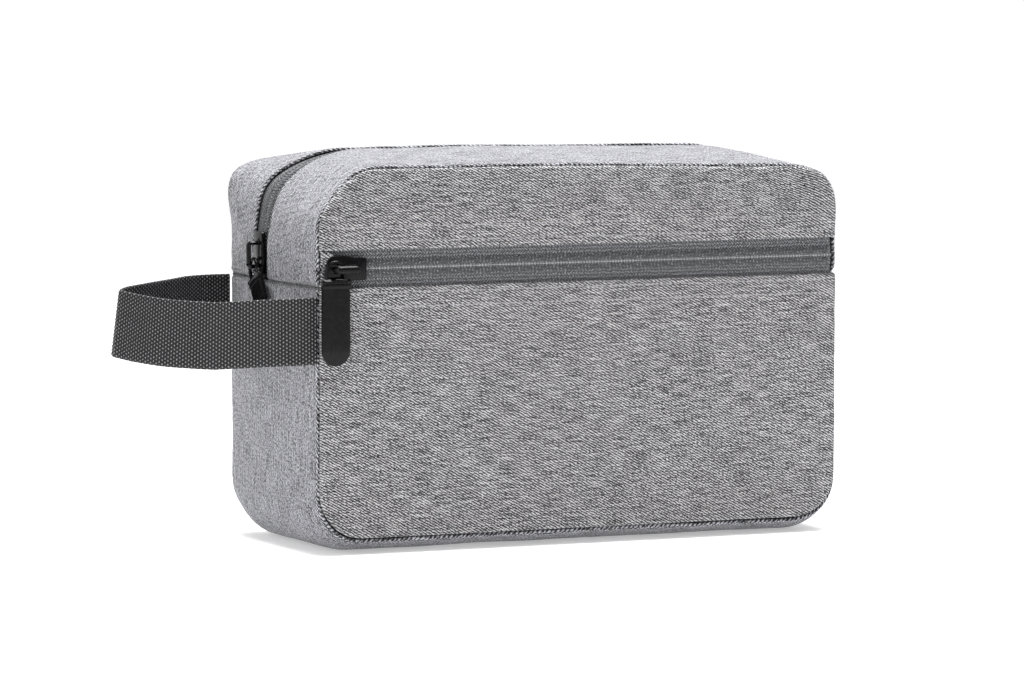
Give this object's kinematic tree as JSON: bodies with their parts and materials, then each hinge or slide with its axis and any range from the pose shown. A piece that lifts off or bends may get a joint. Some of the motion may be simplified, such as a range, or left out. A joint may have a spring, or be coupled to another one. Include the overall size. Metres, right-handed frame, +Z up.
{
  "type": "shaving kit bag",
  "caption": "Boxy grey twill toiletry bag with a zip over the top and down both sides, a zipped front pocket with long pull tabs, and a webbing hand loop at the left end.",
  "frame": {"origin": "the middle of the flat base, on the surface the bag stands on", "axes": "+X to the bag's right along its length, -Y out of the front pocket face, +Z up"},
  "size_m": [0.2788, 0.0972, 0.1489],
  "materials": {
    "twill": "grey heathered polyester twill, matte",
    "zip_tape": "charcoal ribbed polyester tape",
    "zip_coil": "black nylon coil, satin",
    "gloss_black": "black gloss enamel on die-cast zinc",
    "webbing": "black polypropylene webbing, open weave",
    "lining": "smooth dark grey polyester lining"
  },
  "bodies": {
    "root": {"front_lower_panel": "twill", "back_lower_panel": "twill", "lower_gusset": "twill", "pocket_backing": "lining", "lining_lower": "lining", "zip_gusset_foot_front_left": "twill", "zip_gusset_foot_front_right": "twill", "zip_gusset_foot_back_left": "twill", "zip_gusset_foot_back_right": "twill", "main_zip_end_front_left": "zip_tape", "main_zip_end_front_right": "zip_tape", "main_zip_end_back_left": "zip_tape", "main_zip_end_back_right": "zip_tape", "pocket_zip_tape_lower": "zip_tape", "pocket_zip_tape_upper": "zip_tape", "pocket_zip_coil_lower": "zip_coil", "pocket_zip_coil_upper": "zip_coil", "strap_end_front": "webbing", "strap_end_back": "webbing"},
    "front_mouth": {"front_upper_panel": "twill", "zip_gusset_front": "twill", "main_zip_tape_front": "zip_tape", "main_zip_coil_front": "zip_coil", "lining_upper_front": "lining"},
    "back_mouth": {"back_upper_panel": "twill", "zip_gusset_back": "twill", "main_zip_tape_back": "zip_tape", "main_zip_coil_back": "zip_coil", "lining_upper_back": "lining"},
    "hand_loop": {"strap_loop": "webbing"},
    "main_slider": {"main_slider_body": "gloss_black", "main_slider_bridge": "gloss_black"},
    "main_ring": {"main_pull_ring": "gloss_black"},
    "main_tab": {"main_pull_tab": "gloss_black"},
    "pocket_slider": {"pocket_slider_body": "gloss_black", "pocket_slider_bridge": "gloss_black"},
    "pocket_ring": {"pocket_pull_ring": "gloss_black"},
    "pocket_tab": {"pocket_pull_tab": "gloss_black"}
  },
  "joints": [
    {"name": "front_mouth_fold", "type": "hinge", "parent": "root", "child": "front_mouth", "pos_m": [0, -0.045, 0.1135], "axis": [1, 0, 0], "range_deg": [0, 32]},
    {"name": "back_mouth_fold", "type": "hinge", "parent": "root", "child": "back_mouth", "pos_m": [0, 0.045, 0.1135], "axis": [-1, 0, 0], "range_deg": [0, 32]},
    {"name": "hand_loop_lift", "type": "hinge", "parent": "root", "child": "hand_loop", "pos_m": [-0.116, 0, 0.082], "axis": [0, 1, 0], "range_deg": [0, 35]},
    {"name": "main_slider_run", "type": "hinge", "parent": "root", "child": "main_slider", "pos_m": [-0.0715, 0.008, 0.11], "axis": [0, -1, 0], "range_deg": [-90, 0]},
    {"name": "main_pull_swivel", "type": "hinge", "parent": "main_slider", "child": "main_ring", "pos_m": [-0.113, 0.008, 0.1048], "axis": [-1, 0, 0], "range_deg": [-90, 18]},
    {"name": "main_pull_lift", "type": "hinge", "parent": "main_ring", "child": "main_tab", "pos_m": [-0.113, 0.00582, 0.10102], "axis": [0, 0.866, -0.5], "range_deg": [0, 80]},
    {"name": "pocket_slider_run", "type": "slide", "parent": "root", "child": "pocket_slider", "axis": [1, 0, 0], "range_m": [0, 0.192]},
    {"name": "pocket_pull_swivel", "type": "hinge", "parent": "pocket_slider", "child": "pocket_ring", "pos_m": [-0.1022, -0.0475, 0.1065], "axis": [0, -1, 0], "range_deg": [-150, 18]},
    {"name": "pocket_pull_lift", "type": "hinge", "parent": "pocket_ring", "child": "pocket_tab", "pos_m": [-0.1022, -0.0475, 0.10214], "axis": [-1, 0, 0], "range_deg": [0, 90]}
  ]
}
